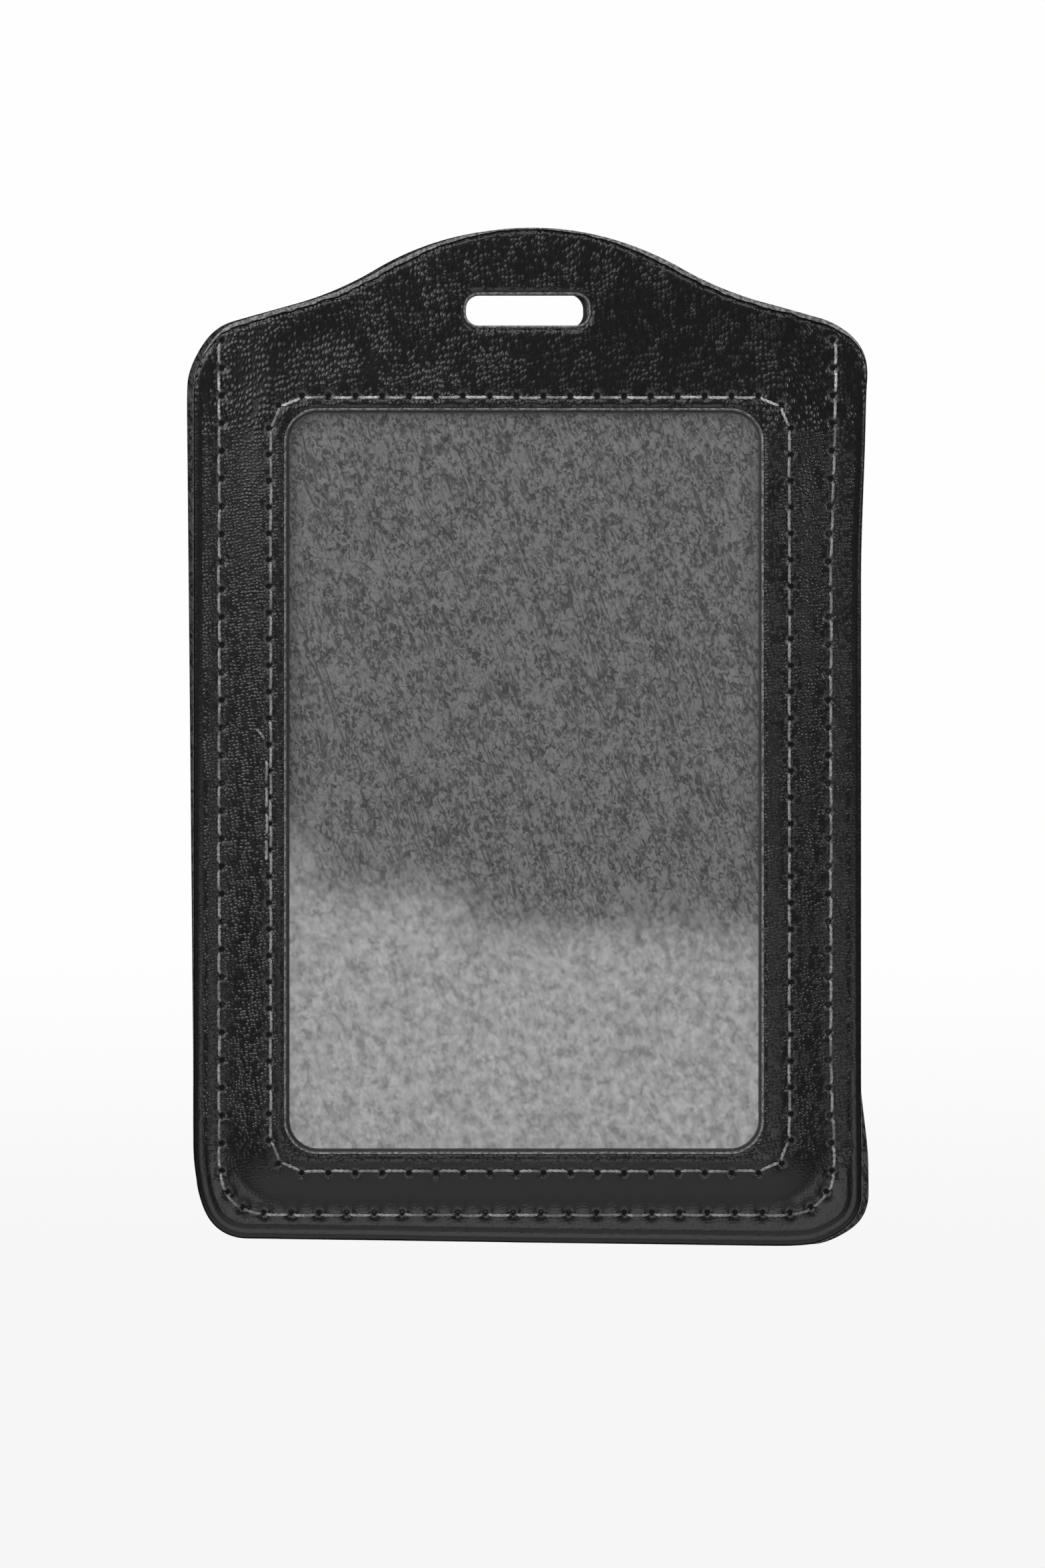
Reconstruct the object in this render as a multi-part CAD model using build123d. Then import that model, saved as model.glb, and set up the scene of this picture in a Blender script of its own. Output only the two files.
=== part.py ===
from build123d import *
import os
from math import atan, ceil, degrees, hypot, radians, sin, tan

# An upright badge wallet, cut from cloth-backed leatherette and sewn round a card pocket.
# All sizes are in millimetres.  X runs across, Z runs up, and the front faces -Y.
# The origin is the middle of the lanyard slot, on the plane where the two covers meet.

# Window, sized to show a card but hold its edges, with a cut edge that slants outwards to the front
window_width = 52.3
window_height = 82.0
window_corner = 3.4
window_drop = 10.65
window_shift = -0.35
window_slant = 0.55

# Edge of a cover, the same for the front and the back, set by the borders round the window
side_border = 10.8
bottom_border = 9.95
top_rise = 9.2
hump_radius = 32.2
hump_slope = 30.7
hump_shift = 0.5
saddle_radius = 36.6
shoulder_slope = 15.5
shoulder_radius = 7.0
bottom_radius = 5.9

# Sheet materials
skin = 0.35
backing = 0.75
film = 0.25

# Flat band pressed along the edge of the front cover
band_width = 1.15
band_depth = 0.12

# Lanyard slot, punched through both covers
slot_length = 13.9
slot_height = 3.8
slot_corner = 1.7

# Seam that joins the covers down both sides and along the bottom
outer_inset = 3.2
outer_corner = 4.6
outer_pitch = 3.1
mouth_drop = 2.95

# Seam that holds the pane round the window
window_seam_left = 2.0
window_seam_right = 3.1
window_seam_top = 1.5
window_seam_bottom = 2.3
window_seam_corner = 3.6
window_pitch = 3.0
seam_start_drop = 45.8
overlap_stitches = 4
overlap_shift = 0.45
pane_margin = 2.4

# Thread, and the holes that the needle leaves
thread_width = 0.38
thread_height = 0.28
thread_lap = 0.1
hole_length = 0.5
hole_width = 0.56
channel_width = 0.9
channel_depth = 0.14

# Card pocket: the front cover rises from inside the outer seam to a flat crown
pocket_room = 1.1
foot_gap = 0.8
ramp_width = 5.0
crown_corner = 1.4

# The back cover was laid slightly askew, turned about a point below the slot
back_skew = 1.0
skew_drop = 66.0

# Line across the back cover, just above the ends of the outer seam, where the mouth bends
fold_gap = 0.2

cover_width = window_width + 2 * side_border
bottom_drop = window_drop + window_height + bottom_border
front_thickness = backing + skin
clear_of_all = 20.0
seam_x = cover_width / 2 - outer_inset
seam_z = outer_inset - bottom_drop
foot_x = seam_x - foot_gap
foot_z = seam_z + foot_gap
foot_corner = ramp_width + crown_corner
window_x = window_shift
window_z = -window_drop - window_height / 2
fold_z = hole_length / 2 + fold_gap - mouth_drop


def half_edge(reach):
    """Half of a cover's edge, from the top of the hump round to the middle of the bottom."""
    hump = JernArc((0, top_rise), (1, 0), hump_radius, -hump_slope)
    saddle = JernArc(hump @ 1, hump % 1, saddle_radius, hump_slope - shoulder_slope)
    corner_start = reach - shoulder_radius * (1 - sin(radians(shoulder_slope)))
    run = corner_start - (saddle @ 1).X
    fall = run * tan(radians(shoulder_slope))
    shoulder = Line(saddle @ 1, saddle @ 1 + Vector(run, -fall))
    corner = JernArc(shoulder @ 1, shoulder % 1, shoulder_radius, shoulder_slope - 90)
    side = Line(corner @ 1, (reach, bottom_radius - bottom_drop))
    lower = JernArc(side @ 1, (0, -1), bottom_radius, -90)
    bottom = Line(lower @ 1, (0, -bottom_drop))
    return Curve() + [hump, saddle, shoulder, corner, side, lower, bottom]


def cover_face():
    """Outline of a cover, with the hump a little to one side of the middle."""
    right = half_edge(cover_width / 2 - hump_shift)
    left = mirror(half_edge(cover_width / 2 + hump_shift), about=Plane.YZ)
    return Pos(hump_shift, 0) * make_face(right.edges() + left.edges())


def pocket_face(half_width, bottom, corner):
    """A pocket outline with round corners, which runs on past the open top of the covers."""
    top = top_rise + clear_of_all
    shape = RectangleRounded(2 * half_width, top - bottom, corner)
    return Pos(0, (top + bottom) / 2) * shape


def slot_face():
    """The lanyard slot, with its round ends."""
    return RectangleRounded(slot_length, slot_height, slot_corner)


def window_face(grow):
    """The window opening, made larger all round."""
    width = window_width + 2 * grow
    height = window_height + 2 * grow
    return Pos(window_x, window_z) * RectangleRounded(width, height, window_corner + grow)


def round_bottom(left, right, top, bottom, corner):
    """The parts of a line that runs down, across and up again, with round corners."""
    side = Line((left, top), (left, bottom + corner))
    first = JernArc(side @ 1, (0, -1), corner, 90)
    across = Line(first @ 1, (right - corner, bottom))
    second = JernArc(across @ 1, (1, 0), corner, 90)
    rise = Line(second @ 1, (right, top))
    return [side, first, across, second, rise]


def outer_seam_line():
    """The line of the outer seam, from the left end of the mouth to the right end."""
    return round_bottom(-seam_x, seam_x, -mouth_drop, seam_z, outer_corner)


def window_seam_line():
    """The line of the window seam, from the top of its left side once round."""
    left = window_x - window_width / 2 - window_seam_left
    right = window_x + window_width / 2 + window_seam_right
    top = window_seam_top - window_drop
    bottom = -window_drop - window_height - window_seam_bottom
    corner = window_seam_corner
    line = round_bottom(left, right, top - corner, bottom, corner)
    third = JernArc(line[-1] @ 1, (0, 1), corner, 90)
    across = Line(third @ 1, (left + corner, top))
    fourth = JernArc(across @ 1, (-1, 0), corner, 90)
    return [*line, third, across, fourth]


def plate(face, near, far):
    """A sheet of the given outline, from one distance in front of the seam plane to another."""
    return extrude(Plane.XZ.offset(near) * face, amount=far - near)


def crown(lift):
    """The space under the front cover, from the seam plane to the raised crown."""
    foot = Plane.XZ * pocket_face(foot_x, foot_z, foot_corner)
    lean = degrees(atan(ramp_width / pocket_room))
    return Pos(0, -lift, 0) * extrude(foot, amount=pocket_room, taper=lean)


def under(face, lift):
    """Everything between the seam plane and a surface that lies at a height over the crown."""
    room = plate(face, 0, pocket_room + lift) & crown(lift)
    if lift == 0:
        return room
    return plate(face, 0, lift) + room


def crown_height(x, z):
    """Rise of the crown over the seam plane at a place on the front."""
    from_side = foot_x - abs(x)
    from_bottom = z - foot_z
    inside = min(from_side, from_bottom)
    if from_side < foot_corner and from_bottom < foot_corner:
        inside = foot_corner - hypot(foot_corner - from_side, foot_corner - from_bottom)
    share = min(max(inside / ramp_width, 0.0), 1.0)
    return pocket_room * share


def window_cut():
    """Tool for the window's slanting cut edge, through the whole front cover."""
    over = 0.2
    slope = window_slant / front_thickness
    start = Plane.XZ.offset(pocket_room - over) * window_face(-over * slope)
    return extrude(start, amount=front_thickness + 2 * over, taper=-degrees(atan(slope)))


def holes_along(line, pitch):
    """Needle holes along a seam line, each as its X, its Z and the way the seam runs there."""
    holes = []
    for part in line:
        count = ceil(part.length / pitch)
        for i in range(count):
            place = part @ (i / count)
            holes.append((place.X, place.Y, part % (i / count)))
    return holes


def overlap_holes(holes):
    """Needle holes where the end of the window seam runs beside its start."""
    start = ceil((seam_start_drop + holes[0][1]) / (holes[0][1] - holes[1][1]))
    first = holes[start : start + overlap_stitches + 1]
    second = holes[start + 1 : start + overlap_stitches + 2]
    row = []
    for (x0, z0, along), (x1, z1, _) in zip(first, second):
        row.append(((x0 + x1) / 2 - overlap_shift, (z0 + z1) / 2, along))
    return row


def hole_cuts(holes, near, far):
    """Tools that punch the needle holes through one layer."""
    cuts = []
    for x, z, along in holes:
        place = Plane(origin=(x, z, 0), x_dir=along)
        slit = place * Rectangle(hole_length, hole_width)
        cuts.append(plate(slit, near, far))
    return cuts


def slope_at(x, z):
    """How fast the crown rises across and up the front, at one place."""
    step = 0.05
    across = crown_height(x + step, z) - crown_height(x - step, z)
    upward = crown_height(x, z + step) - crown_height(x, z - step)
    return across / (2 * step), upward / (2 * step)


def side_view(count, reach, dip):
    """Side of a row of stitches, which dip into the sheet at the needle holes."""
    ease = 0.2 * reach
    half_hole = 0.4 * hole_length
    hole_top = 0.4 * thread_height - 0.7 * dip
    upper = [(-thread_lap, hole_top)]
    lower = [(-thread_lap, -dip)]
    for i in range(count):
        begin = i * reach
        end = begin + reach
        upper += [(begin, hole_top), (begin + ease, thread_height), (end - ease, thread_height)]
        if dip:
            lower += [(begin, -dip), (begin + half_hole, 0), (end - half_hole, 0)]
    upper += [(count * reach, hole_top), (count * reach + thread_lap, hole_top)]
    lower += [(count * reach, -dip), (count * reach + thread_lap, -dip)]
    if not dip:
        lower = [lower[0], lower[-1]]
    return make_face(Polyline(*upper, *reversed(lower), close=True))


def straight_runs(places):
    """The places of a seam's holes, in groups that each lie on one straight line."""
    runs = [places[:2]]
    for place in places[2:]:
        last = runs[-1]
        old = (last[-1] - last[-2]).normalized()
        new = (place - last[-1]).normalized()
        if (new - old).length < 0.001:
            last.append(place)
        else:
            runs.append([last[-1], place])
    return runs


def joined(pieces):
    """Neighbouring pieces of one thread, joined pair by pair into one solid."""
    while len(pieces) > 1:
        pairs = zip(pieces[0::2], pieces[1::2])
        odd = pieces[-1:] if len(pieces) % 2 else []
        pieces = [first + second for first, second in pairs] + odd
    return pieces[0]


def thread(holes, base, crowned, facing, dip):
    """A row of stitches on a sheet whose surface lies at one depth from the seam plane.

    The surface follows the crown where crowned is 1 and is flat where it is 0.
    Facing is -1 on the front of a sheet and 1 on its back.
    """
    places = [Vector(x, base - crowned * crown_height(x, z), z) for x, z, _ in holes]
    pieces = []
    for run in straight_runs(places):
        along = run[-1] - run[0]
        middle = run[0] + along / 2
        slope_x, slope_z = slope_at(middle.X, middle.Z)
        out = Vector(crowned * slope_x, 1, crowned * slope_z) * facing
        surface = base - crowned * crown_height(middle.X, middle.Z)
        over_crest = min(surface - middle.Y, 0) if facing < 0 else 0
        count = len(run) - 1
        start = run[0] + Vector(0, over_crest, 0)
        plane = Plane(origin=start, x_dir=along, z_dir=along.cross(out))
        profile = plane * side_view(count, along.length / count, dip)
        pieces.append(extrude(profile, amount=thread_width / 2, both=True))
    return joined(pieces)


def askew(shape):
    """A piece of the back cover, turned to where it was laid."""
    return Pos(0, 0, -skew_drop) * Rot(0, -back_skew, 0) * Pos(0, 0, skew_drop) * shape


def front_layer(face, lift_near, lift_far):
    """One layer of the front cover, between two heights over the crown."""
    layer = under(face, lift_far) - under(face, lift_near)
    slot = plate(slot_face(), 0, clear_of_all)
    return layer - slot - window_cut()


def front_cover(holes):
    """The grained skin of the front cover, with its pressed edge and its needle holes."""
    whole = cover_face()
    middle = offset(whole, amount=-band_width)
    layer = front_layer(middle, backing, front_thickness)
    band = front_layer(whole, backing, front_thickness - band_depth)
    return layer + band - hole_cuts(holes, backing, clear_of_all)


def front_cover_backing():
    """The grey cloth backing bonded behind the front skin."""
    return front_layer(cover_face(), 0, backing)


def window_pane():
    """The clear pane, which lies against the backing and follows the crown."""
    face = offset(make_face(window_seam_line()), amount=pane_margin)
    return under(face, 0) - Pos(0, film, 0) * crown(0)


def back_layer(near, far):
    """One layer of the back cover, between two distances behind the seam plane."""
    sheet = plate(cover_face(), -far, -near)
    slot = plate(slot_face(), -clear_of_all, 0)
    return askew(sheet - slot)


def seam_channel():
    """Tool for the shallow channel that the outer seam draws into the back cover."""
    half = channel_width / 2
    outside = pocket_face(seam_x + half, seam_z - half, outer_corner + half)
    inside = pocket_face(seam_x - half, seam_z + half, outer_corner - half)
    return plate(outside - inside, -clear_of_all, channel_depth - front_thickness)


def part_at_fold(sheet, keep):
    """The piece of a sheet above or below the line where the mouth bends."""
    line = Plane(origin=(0, 0, fold_z), z_dir=(0, 0, 1))
    return split(sheet, bisect_by=line, keep=keep)


mouth_end = (seam_x, -mouth_drop, Vector(0, 1))
outer = [*holes_along(outer_seam_line(), outer_pitch), mouth_end]
window = holes_along(window_seam_line(), window_pitch)
window_round = [*window, window[0]]
overlap = overlap_holes(window)
front_face = -front_thickness
channel_floor = front_thickness - channel_depth
back_skin = back_layer(backing, front_thickness)
back_cloth = back_layer(0, backing)
needle_overlap = thread(overlap, front_face, 1, -1, skin)
bobbin_overlap = thread(overlap, film, 1, 1, 0)

nodes = {
    "front_cover": front_cover(outer + window + overlap),
    "front_cover_backing": front_cover_backing(),
    "window_pane": window_pane(),
    "back_cover": part_at_fold(back_skin, Keep.BOTTOM) - seam_channel(),
    "back_cover_backing": part_at_fold(back_cloth, Keep.BOTTOM),
    "back_lip": part_at_fold(back_skin, Keep.TOP),
    "back_lip_backing": part_at_fold(back_cloth, Keep.TOP),
    "outer_seam_needle_thread": thread(outer, front_face, 1, -1, skin),
    "outer_seam_bobbin_thread": thread(outer, channel_floor, 0, 1, 0),
    "window_seam_needle_thread": thread(window_round, front_face, 1, -1, skin) + needle_overlap,
    "window_seam_bobbin_thread": thread(window_round, film, 1, 1, 0) + bobbin_overlap,
}

os.makedirs("parts", exist_ok=True)
for name, piece in nodes.items():
    export_step(piece, f"parts/{name}.step")
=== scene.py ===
import math
import random
import bpy
import numpy as np
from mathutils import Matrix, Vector
from mathutils.geometry import delaunay_2d_cdt

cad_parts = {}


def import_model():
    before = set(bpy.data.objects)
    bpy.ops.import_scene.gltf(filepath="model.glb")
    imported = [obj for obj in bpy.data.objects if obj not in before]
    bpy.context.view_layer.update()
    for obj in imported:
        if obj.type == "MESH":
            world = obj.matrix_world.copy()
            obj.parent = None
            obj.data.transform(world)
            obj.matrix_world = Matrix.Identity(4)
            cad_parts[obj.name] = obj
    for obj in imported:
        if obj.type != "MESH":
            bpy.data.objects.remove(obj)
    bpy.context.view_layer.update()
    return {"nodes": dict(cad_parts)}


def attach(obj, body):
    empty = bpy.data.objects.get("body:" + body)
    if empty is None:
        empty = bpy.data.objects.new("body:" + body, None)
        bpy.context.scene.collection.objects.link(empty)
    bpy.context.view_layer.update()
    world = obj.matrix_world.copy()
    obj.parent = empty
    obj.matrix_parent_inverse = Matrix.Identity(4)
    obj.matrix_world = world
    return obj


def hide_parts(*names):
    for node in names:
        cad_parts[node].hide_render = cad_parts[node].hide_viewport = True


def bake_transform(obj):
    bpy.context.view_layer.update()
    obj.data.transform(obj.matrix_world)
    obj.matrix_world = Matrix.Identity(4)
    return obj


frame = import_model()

mm = 0.001
cover_width = 73.9 * mm
top_rise = 9.2 * mm
bottom_drop = 102.6 * mm
hump_shift = 0.5 * mm
hump_radius = 32.2 * mm
hump_slope = 30.7
saddle_radius = 36.6 * mm
shoulder_slope = 15.5
shoulder_radius = 7.0 * mm
bottom_radius = 5.9 * mm
slot_middle = (0, 0.33 * mm)
slot_length = 14.1 * mm
slot_height = 3.9 * mm
slot_corner = 1.7 * mm
window_width = 52.3 * mm
window_height = 82.0 * mm
window_corner = 3.4 * mm
window_middle = (-0.35 * mm, -51.7 * mm)
window_slant = 0.32 * mm
backing_face = 0.75 * mm
skin_face = 1.10 * mm
pocket_room = 1.1 * mm
ramp_width = 5.0 * mm
foot_side = 32.95 * mm
foot_bottom = -98.6 * mm
foot_corner = 6.4 * mm
seam_side = 33.75 * mm
seam_bottom = -99.4 * mm
seam_corner = 4.6 * mm
seam_top = -2.95 * mm
outer_pitch = 3.1 * mm
window_pitch = 3.0 * mm
needle_hole = 0.38 * mm
batch = 2000


def turned(place, heading, length, turn, step):
    """Points along a run of a cut line that turns by so many degrees over its length."""
    count = max(1, round(length / step))
    bend = math.radians(turn) / count
    chord = length / count
    if bend:
        chord *= math.sin(bend / 2) / (bend / 2)
    points = []
    x, z = place
    for i in range(count):
        angle = heading + (i + 0.5) * bend
        x += chord * math.cos(angle)
        z += chord * math.sin(angle)
        points.append((x, z))
    return points, heading + math.radians(turn)


def cut_line(start, heading, runs, step=0.3 * mm):
    """Points along a cut or sewn line, given as runs of a length and a turn in degrees."""
    points = [start]
    heading = math.radians(heading)
    for length, turn in runs:
        more, heading = turned(points[-1], heading, length, turn, step)
        points += more
    return points


def arc(radius, turn):
    """One round run of a cut line."""
    return (radius * abs(math.radians(turn)), turn)


def half_cover(reach):
    """Edge of half a cover, from the top of the hump down to the middle of the bottom."""
    crest = cut_line((0, top_rise), 0, [arc(hump_radius, -hump_slope)])
    saddle_turn = hump_slope - shoulder_slope
    saddle = cut_line(crest[-1], -hump_slope, [arc(saddle_radius, saddle_turn)])
    slope = math.radians(shoulder_slope)
    run = reach - shoulder_radius * (1 - math.sin(slope)) - saddle[-1][0]
    fall = saddle[-1][1] - run * math.tan(slope)
    side_top = fall - shoulder_radius * math.cos(slope)
    runs = [
        (run / math.cos(slope), 0),
        arc(shoulder_radius, shoulder_slope - 90),
        (side_top + bottom_drop - bottom_radius, 0),
        arc(bottom_radius, -90),
        (reach - bottom_radius, 0),
    ]
    return crest + saddle[1:] + cut_line(saddle[-1], -shoulder_slope, runs)[1:]


def cover_line():
    """Edge of a whole cover, clockwise from the top of the hump."""
    right = half_cover(cover_width / 2 - hump_shift)
    left = half_cover(cover_width / 2 + hump_shift)
    both = right + [(-x, z) for x, z in reversed(left)][1:-1]
    return np.array([(x + hump_shift, z) for x, z in both])


def slide(value, low, high):
    """How far a value is from low to high, from 0 to 1, with a soft start and end."""
    share = np.clip((value - low) / (high - low), 0, 1)
    return share * share * (3 - 2 * share)


# How far each corner was cut off its line, in millimetres: where, and by how much across and up.
corner_cuts = (
    (-36.0, -98.0, 0.5, 0.4),
    (34.0, -102.0, -0.05, 0.5),
    (-36.2, -4.2, 0.25, -0.3),
    (37.0, -4.0, 0.4, 0.1),
)
corner_reach = 3.2 * mm
bottom_skew = 0.014
bottom_fall = 0.15 * mm
crest_rise = 0.25 * mm


def settled(line, top=0.55 * mm, bottom=0.1 * mm, drawn_in=0.0):
    """A cut or sewn line as it has settled: its right side waisted, its bottom cut a little askew."""
    x, z = line[:, 0], line[:, 1]
    on_right = slide(x, 10 * mm, 30 * mm)
    waist = top * slide(z, -30 * mm, -8 * mm) + bottom * slide(z, -84 * mm, -94 * mm) - drawn_in
    if drawn_in:
        return np.stack([x + waist * on_right, z], 1)
    fall = -(bottom_skew * x + bottom_fall) * slide(z, -84 * mm, -99 * mm)
    crest = crest_rise * slide(z, -8 * mm, -2 * mm)
    laid = np.stack([x + waist * on_right, z + fall + crest], 1)
    for at_x, at_z, by_x, by_z in corner_cuts:
        near = np.exp(-((x - at_x * mm) ** 2 + (z - at_z * mm) ** 2) / corner_reach ** 2)
        laid += near[:, None] * np.array([by_x * mm, by_z * mm])
    return laid


def round_box(middle, width, height, corner, step=0.3 * mm):
    """Edge of an upright opening with round corners, clockwise from its top left."""
    x, z = middle
    start = (x - width / 2 + corner, z + height / 2)
    across = (width - 2 * corner, 0)
    down = (height - 2 * corner, 0)
    bend = arc(corner, -90)
    return np.array(cut_line(start, 0, [across, bend, down, bend, across, bend, down, bend], step)[:-1])


def sewn_line(left, right, top, bottom, corner, pitch, closed):
    """Needle holes of a seam that runs down, across and up, each side and corner evenly shared out."""
    down = (top - bottom - corner, 0)
    across = (right - left - 2 * corner, 0)
    bend = arc(corner, 90)
    runs = [down, bend, across, bend, down]
    start = (left, top)
    if closed:
        down = (top - bottom - 2 * corner, 0)
        start = (left, top - corner)
        runs = [down, bend, across, bend, down, bend, across, bend]
    holes = [start]
    heading = math.radians(-90)
    for length, turn in runs:
        count = math.ceil(length / pitch - 1e-6)
        more, heading = turned(holes[-1], heading, length, turn, length / count)
        holes += more
    return np.array(holes[:-1] if closed else holes)


def beside(line, distance, closed=True):
    """A line beside another, that much to its right."""
    after = np.roll(line, -1, 0)
    before = np.roll(line, 1, 0)
    if not closed:
        after[-1] = line[-1]
        before[0] = line[0]
    along = after - before
    along /= np.linalg.norm(along, axis=1)[:, None] + 1e-12
    right = np.stack([along[:, 1], -along[:, 0]], 1)
    return line + right * distance


def away_from(places, line, closed=True):
    """Distance of each place from a line, in metres."""
    start = line if closed else line[:-1]
    end = np.roll(line, -1, 0) if closed else line[1:]
    run = end - start
    size = (run * run).sum(1) + 1e-18
    nearest = np.empty(len(places))
    for i in range(0, len(places), batch):
        part = places[i : i + batch, None, :] - start[None]
        share = np.clip((part * run[None]).sum(2) / size, 0, 1)
        gap = part - share[:, :, None] * run[None]
        nearest[i : i + batch] = np.sqrt((gap * gap).sum(2).min(1))
    return nearest


def inside(places, line):
    """Whether each place is inside a closed line."""
    start = line
    end = np.roll(line, -1, 0)
    within = np.zeros(len(places), bool)
    for i in range(0, len(places), batch):
        x = places[i : i + batch, 0][:, None]
        z = places[i : i + batch, 1][:, None]
        straddles = (start[None, :, 1] > z) != (end[None, :, 1] > z)
        rise = end[None, :, 1] - start[None, :, 1]
        rise = np.where(rise == 0, 1e-12, rise)
        across = end[None, :, 0] - start[None, :, 0]
        cross = start[None, :, 0] + (z - start[None, :, 1]) / rise * across
        within[i : i + batch] = (straddles & (x < cross)).sum(1) % 2 == 1
    return within


def spread(edge, openings, guides, spacing, seed):
    """Points to build a sheet on: its cut lines, then the lines beside them, then an even filling."""
    chance = np.random.default_rng(seed)
    row_share = 0.866
    uneven = 0.12
    guide_gap = 0.13 * mm
    filling_gap = 0.6 * spacing
    low = edge.min(0)
    high = edge.max(0)
    rows = np.arange(low[1], high[1], spacing * row_share)
    filling = []
    for i, z in enumerate(rows):
        x = np.arange(low[0] + spacing * 0.5 * (i % 2), high[0], spacing)
        filling.append(np.stack([x, np.full(len(x), z)], 1))
    filling = np.concatenate(filling)
    filling += chance.uniform(-uneven, uneven, filling.shape) * spacing
    wanted = [(guide, guide_gap) for guide in guides] + [(filling, filling_gap)]
    kept = [np.concatenate([edge, *openings])]
    cell = 0.4 * mm
    taken = {}
    for x, z in kept[0]:
        taken.setdefault((int(x // cell), int(z // cell)), []).append((x, z))
    for points, gap in wanted:
        points = points[inside(points, edge)]
        for opening in openings:
            points = points[~inside(points, opening)]
        accepted = []
        for x, z in points:
            column, row = int(x // cell), int(z // cell)
            clear = True
            for i in (column - 1, column, column + 1):
                for j in (row - 1, row, row + 1):
                    for a, b in taken.get((i, j), ()):
                        if (a - x) ** 2 + (b - z) ** 2 < gap * gap:
                            clear = False
            if clear:
                taken.setdefault((column, row), []).append((x, z))
                accepted.append((x, z))
        if accepted:
            kept.append(np.array(accepted))
    return np.concatenate(kept)


def covered(points, edge, openings):
    """Triangles between the points, inside the edge and outside the openings, facing -Y.

    Slivers that lie along a cut line on its outer side are left out, so each cut edge has one triangle.
    """
    loops = []
    first = 0
    for line in [edge, *openings]:
        count = len(line)
        loops += [(first + i, first + (i + 1) % count) for i in range(count)]
        first += count
    scaled = [Vector((x, z)) for x, z in points / mm]
    found = delaunay_2d_cdt(scaled, loops, [], 1, 1e-5, False)
    corners = np.array([tuple(v) for v in found[0]]) * mm
    triangles = np.array([f for f in found[2] if len(f) == 3])
    middles = corners[triangles].mean(1)
    keep = inside(middles, edge)
    for opening in openings:
        keep &= ~inside(middles, opening)
    triangles = triangles[keep]
    a, b, c = (corners[triangles[:, i]] for i in range(3))
    turn = (b[:, 0] - a[:, 0]) * (c[:, 1] - a[:, 1]) - (b[:, 1] - a[:, 1]) * (c[:, 0] - a[:, 0])
    triangles[turn < 0] = triangles[turn < 0][:, ::-1]
    beside_cut = {}
    for i, (a, b, c) in enumerate(triangles.tolist()):
        for pair in ((a, b), (b, c), (c, a)):
            beside_cut.setdefault((min(pair), max(pair)), []).append(i)
    slivers = set()
    for pair in loops:
        users = beside_cut.get((min(pair), max(pair)), ())
        slivers.update(sorted(users, key=lambda i: -abs(turn[i]))[1:])
    return corners, np.delete(triangles, sorted(slivers), 0)


def cut_sheet(name, edge, openings, guides, spacing, near, far, facing, seed, slant=0.0, inner_edge=None):
    """A flat sheet cut to a line, with its face towards -Y or +Y, its cut walls and its inner side.

    Its openings are smaller by the slant on the inner side, and its edge there may be a line of its own.
    """
    inner_edge = edge if inner_edge is None else inner_edge
    inner_spacing = 3.0 * mm
    points = spread(edge, openings, guides, spacing, seed)
    face, triangles = covered(points, edge, openings)
    inner_rings = [beside(inner_edge, ramp_width * k)[::4] for k in (0.18, 0.5, 1.0, 1.4)]
    inner_openings = [beside(line, slant) for line in openings]
    inner_points = spread(inner_edge, inner_openings, inner_rings, inner_spacing, seed)
    under, under_triangles = covered(inner_points, inner_edge, inner_openings)
    loops = []
    first = 0
    for line in [edge, *openings]:
        loops.append(np.arange(first, first + len(line)))
        first += len(line)
    rim = face[:first]
    inner_rim = under[:first]
    walls = []
    wall_rows = [0.72, 0.4]
    base = len(face) + len(under)
    rows = [np.arange(first)]
    rows += [base + i * first + np.arange(first) for i in range(len(wall_rows))]
    rows.append(len(face) + np.arange(first))
    for upper, lower in zip(rows, rows[1:]):
        for loop in loops:
            after = np.roll(loop, -1)
            quads = np.stack([upper[after], upper[loop], lower[loop], lower[after]], 1)
            walls.append(quads)
    walls = np.concatenate(walls)
    flat = np.concatenate([face, under] + [rim * share + inner_rim * (1 - share) for share in wall_rows])
    depth = np.concatenate(
        [np.full(len(face), far), np.full(len(under), near)]
        + [np.full(first, near + (far - near) * share) for share in wall_rows]
    )
    verts = np.stack([flat[:, 0], facing * depth, flat[:, 1]], 1)
    faces = [tuple(t) for t in triangles]
    faces += [tuple(t) for t in under_triangles[:, ::-1] + len(face)]
    faces += [tuple(q) for q in walls]
    if facing > 0:
        faces = [f[::-1] for f in faces]
    mesh = bpy.data.meshes.new(name)
    mesh.from_pydata(verts.tolist(), [], [tuple(int(i) for i in f) for f in faces])
    piece = bpy.data.objects.new(name, mesh)
    bpy.context.scene.collection.objects.link(piece)
    outer = np.zeros(len(verts))
    outer[: len(face)] = 1
    record(piece, "outer_face", outer)
    return piece, flat


def record(piece, name, values):
    """Writes one number a point on a piece, for its trees and its material to read."""
    attribute = piece.data.attributes.new(name, "FLOAT", "POINT")
    attribute.data.foreach_set("value", np.asarray(values, np.float32))


def measured(piece, flat, edge, openings, seams, holes):
    """Records how far each point of a sheet is from its edge, its openings, its seams and its holes."""
    record(piece, "from_edge", away_from(flat, edge))
    record(piece, "from_opening", np.min([away_from(flat, line) for line in openings], 0))
    record(piece, "from_seam", np.min([away_from(flat, line, closed) for line, closed in seams], 0))
    nearest = np.empty(len(flat))
    for i in range(0, len(flat), batch):
        gap = flat[i : i + batch, None, :] - holes[None]
        nearest[i : i + batch] = np.sqrt((gap * gap).sum(2).min(1))
    record(piece, "from_hole", nearest)
    inward = np.minimum(foot_side - np.abs(flat[:, 0]), flat[:, 1] - foot_bottom)
    across = foot_corner - (foot_side - np.abs(flat[:, 0]))
    below = foot_corner - (flat[:, 1] - foot_bottom)
    in_corner = (across > 0) & (below > 0)
    round_off = foot_corner - np.hypot(across, below)
    record(piece, "from_foot", np.where(in_corner, round_off, inward))


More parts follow.
